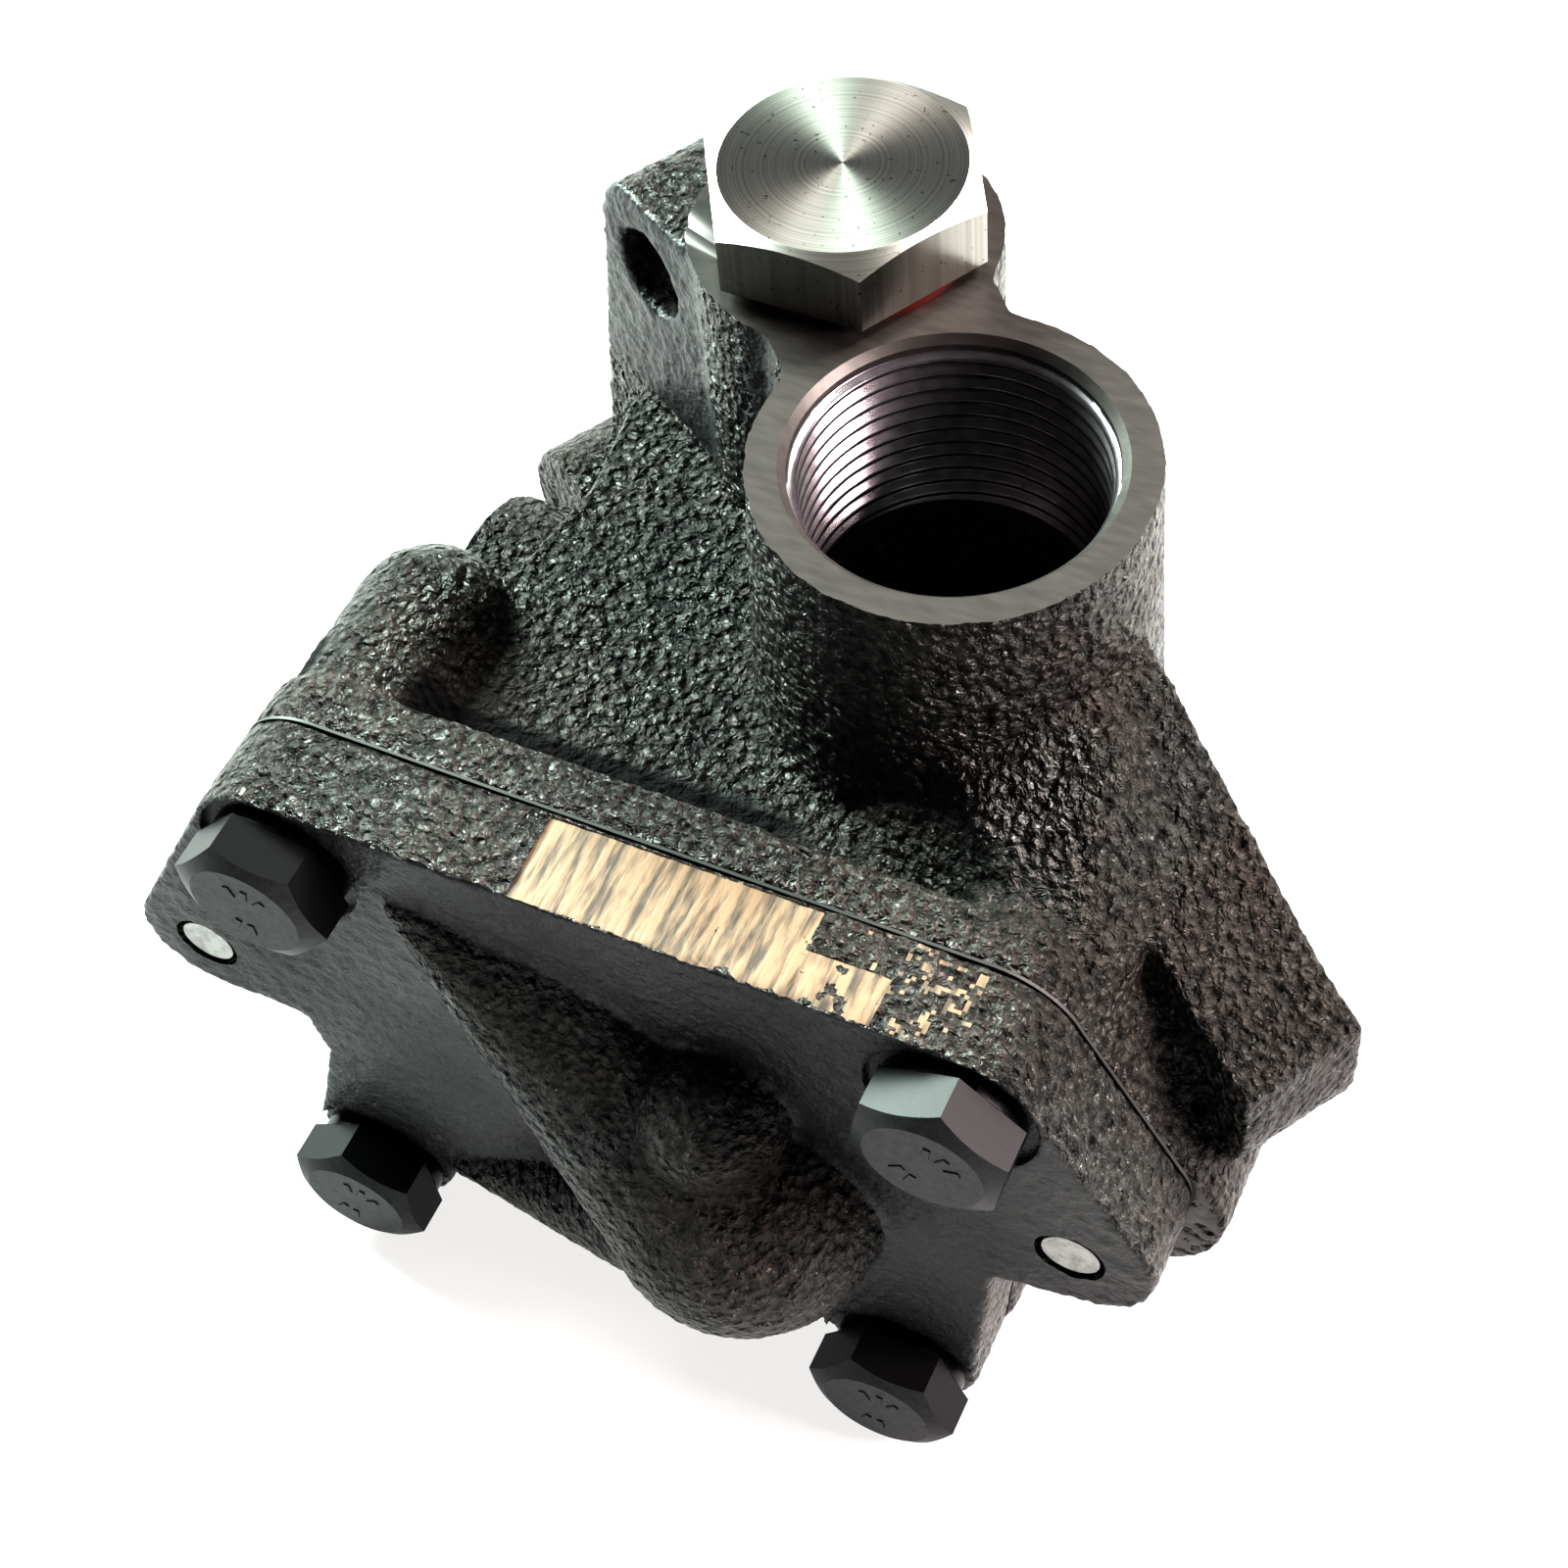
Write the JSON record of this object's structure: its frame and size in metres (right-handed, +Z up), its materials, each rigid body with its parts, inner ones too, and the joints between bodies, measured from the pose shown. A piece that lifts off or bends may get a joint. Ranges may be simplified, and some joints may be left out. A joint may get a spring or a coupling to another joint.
{
  "type": "hydraulic gear pump",
  "caption": "Cast iron hydraulic gear pump with a threaded suction port on top, a hex relief valve plug, a bolted front cover and a turned mounting flange.",
  "frame": {"origin": "axis of the drive shaft at the drive end face of the body", "axes": "+Y along the drive shaft out of the drive end, the bolted cover faces -Y; +Z up through the suction port and the relief plug; +X towards the right ear of the flange"},
  "size_m": [0.1453, 0.1224, 0.1282],
  "materials": {
    "cast_body": "rough sand cast, oiled, nearly black, with machined faces",
    "cast_cover": "rough sand cast with smooth ground joint and lower face",
    "gasket": "thin black fibre sheet",
    "black_steel": "black oxide steel with lightly worn edges",
    "bright_steel": "turned and ground bright steel",
    "hard_steel": "hardened ground steel",
    "spring_steel": "plain spring steel",
    "bronze": "plain bearing bronze",
    "seal_rubber": "moulded nitrile rubber on a steel case",
    "washer_copper": "dulled copper sealing ring"
  },
  "bodies": {
    "housing": {"pump_body": "cast_body", "front_cover": "cast_cover", "cover_gasket": "gasket", "cover_bolts": "black_steel", "lock_washers": "black_steel", "dowel_pins": "bright_steel", "drive_bush_front": "bronze", "drive_bush_rear": "bronze", "driven_bush_front": "bronze", "driven_bush_rear": "bronze", "shaft_seal": "seal_rubber", "seal_circlip": "spring_steel", "relief_plug": "bright_steel", "plug_washer": "washer_copper", "relief_spring": "spring_steel", "relief_seat": "hard_steel"},
    "drive_rotor": {"drive_shaft": "bright_steel", "drive_gear": "hard_steel", "drive_gear_key": "hard_steel"},
    "driven_rotor": {"driven_shaft": "bright_steel", "driven_gear": "hard_steel", "driven_gear_key": "hard_steel"},
    "valve": {"relief_piston": "hard_steel"}
  },
  "joints": [
    {"name": "drive_spin", "type": "hinge", "parent": "housing", "child": "drive_rotor", "pos_m": [0, 0, 0], "axis": [0, 1, 0], "continuous": true},
    {"name": "driven_spin", "type": "hinge", "parent": "housing", "child": "driven_rotor", "pos_m": [-0.035, 0, 0], "axis": [0, 1, 0], "continuous": true},
    {"name": "relief_slide", "type": "slide", "parent": "housing", "child": "valve", "axis": [0, 0, 1], "range_m": [0, 0.006], "stiffness_N_per_m": 12000, "springref_m": -0.003, "deforming": ["relief_spring"]}
  ],
  "couplings": [
    {"joint": "driven_spin", "follows": "drive_spin", "ratio": -1}
  ]
}
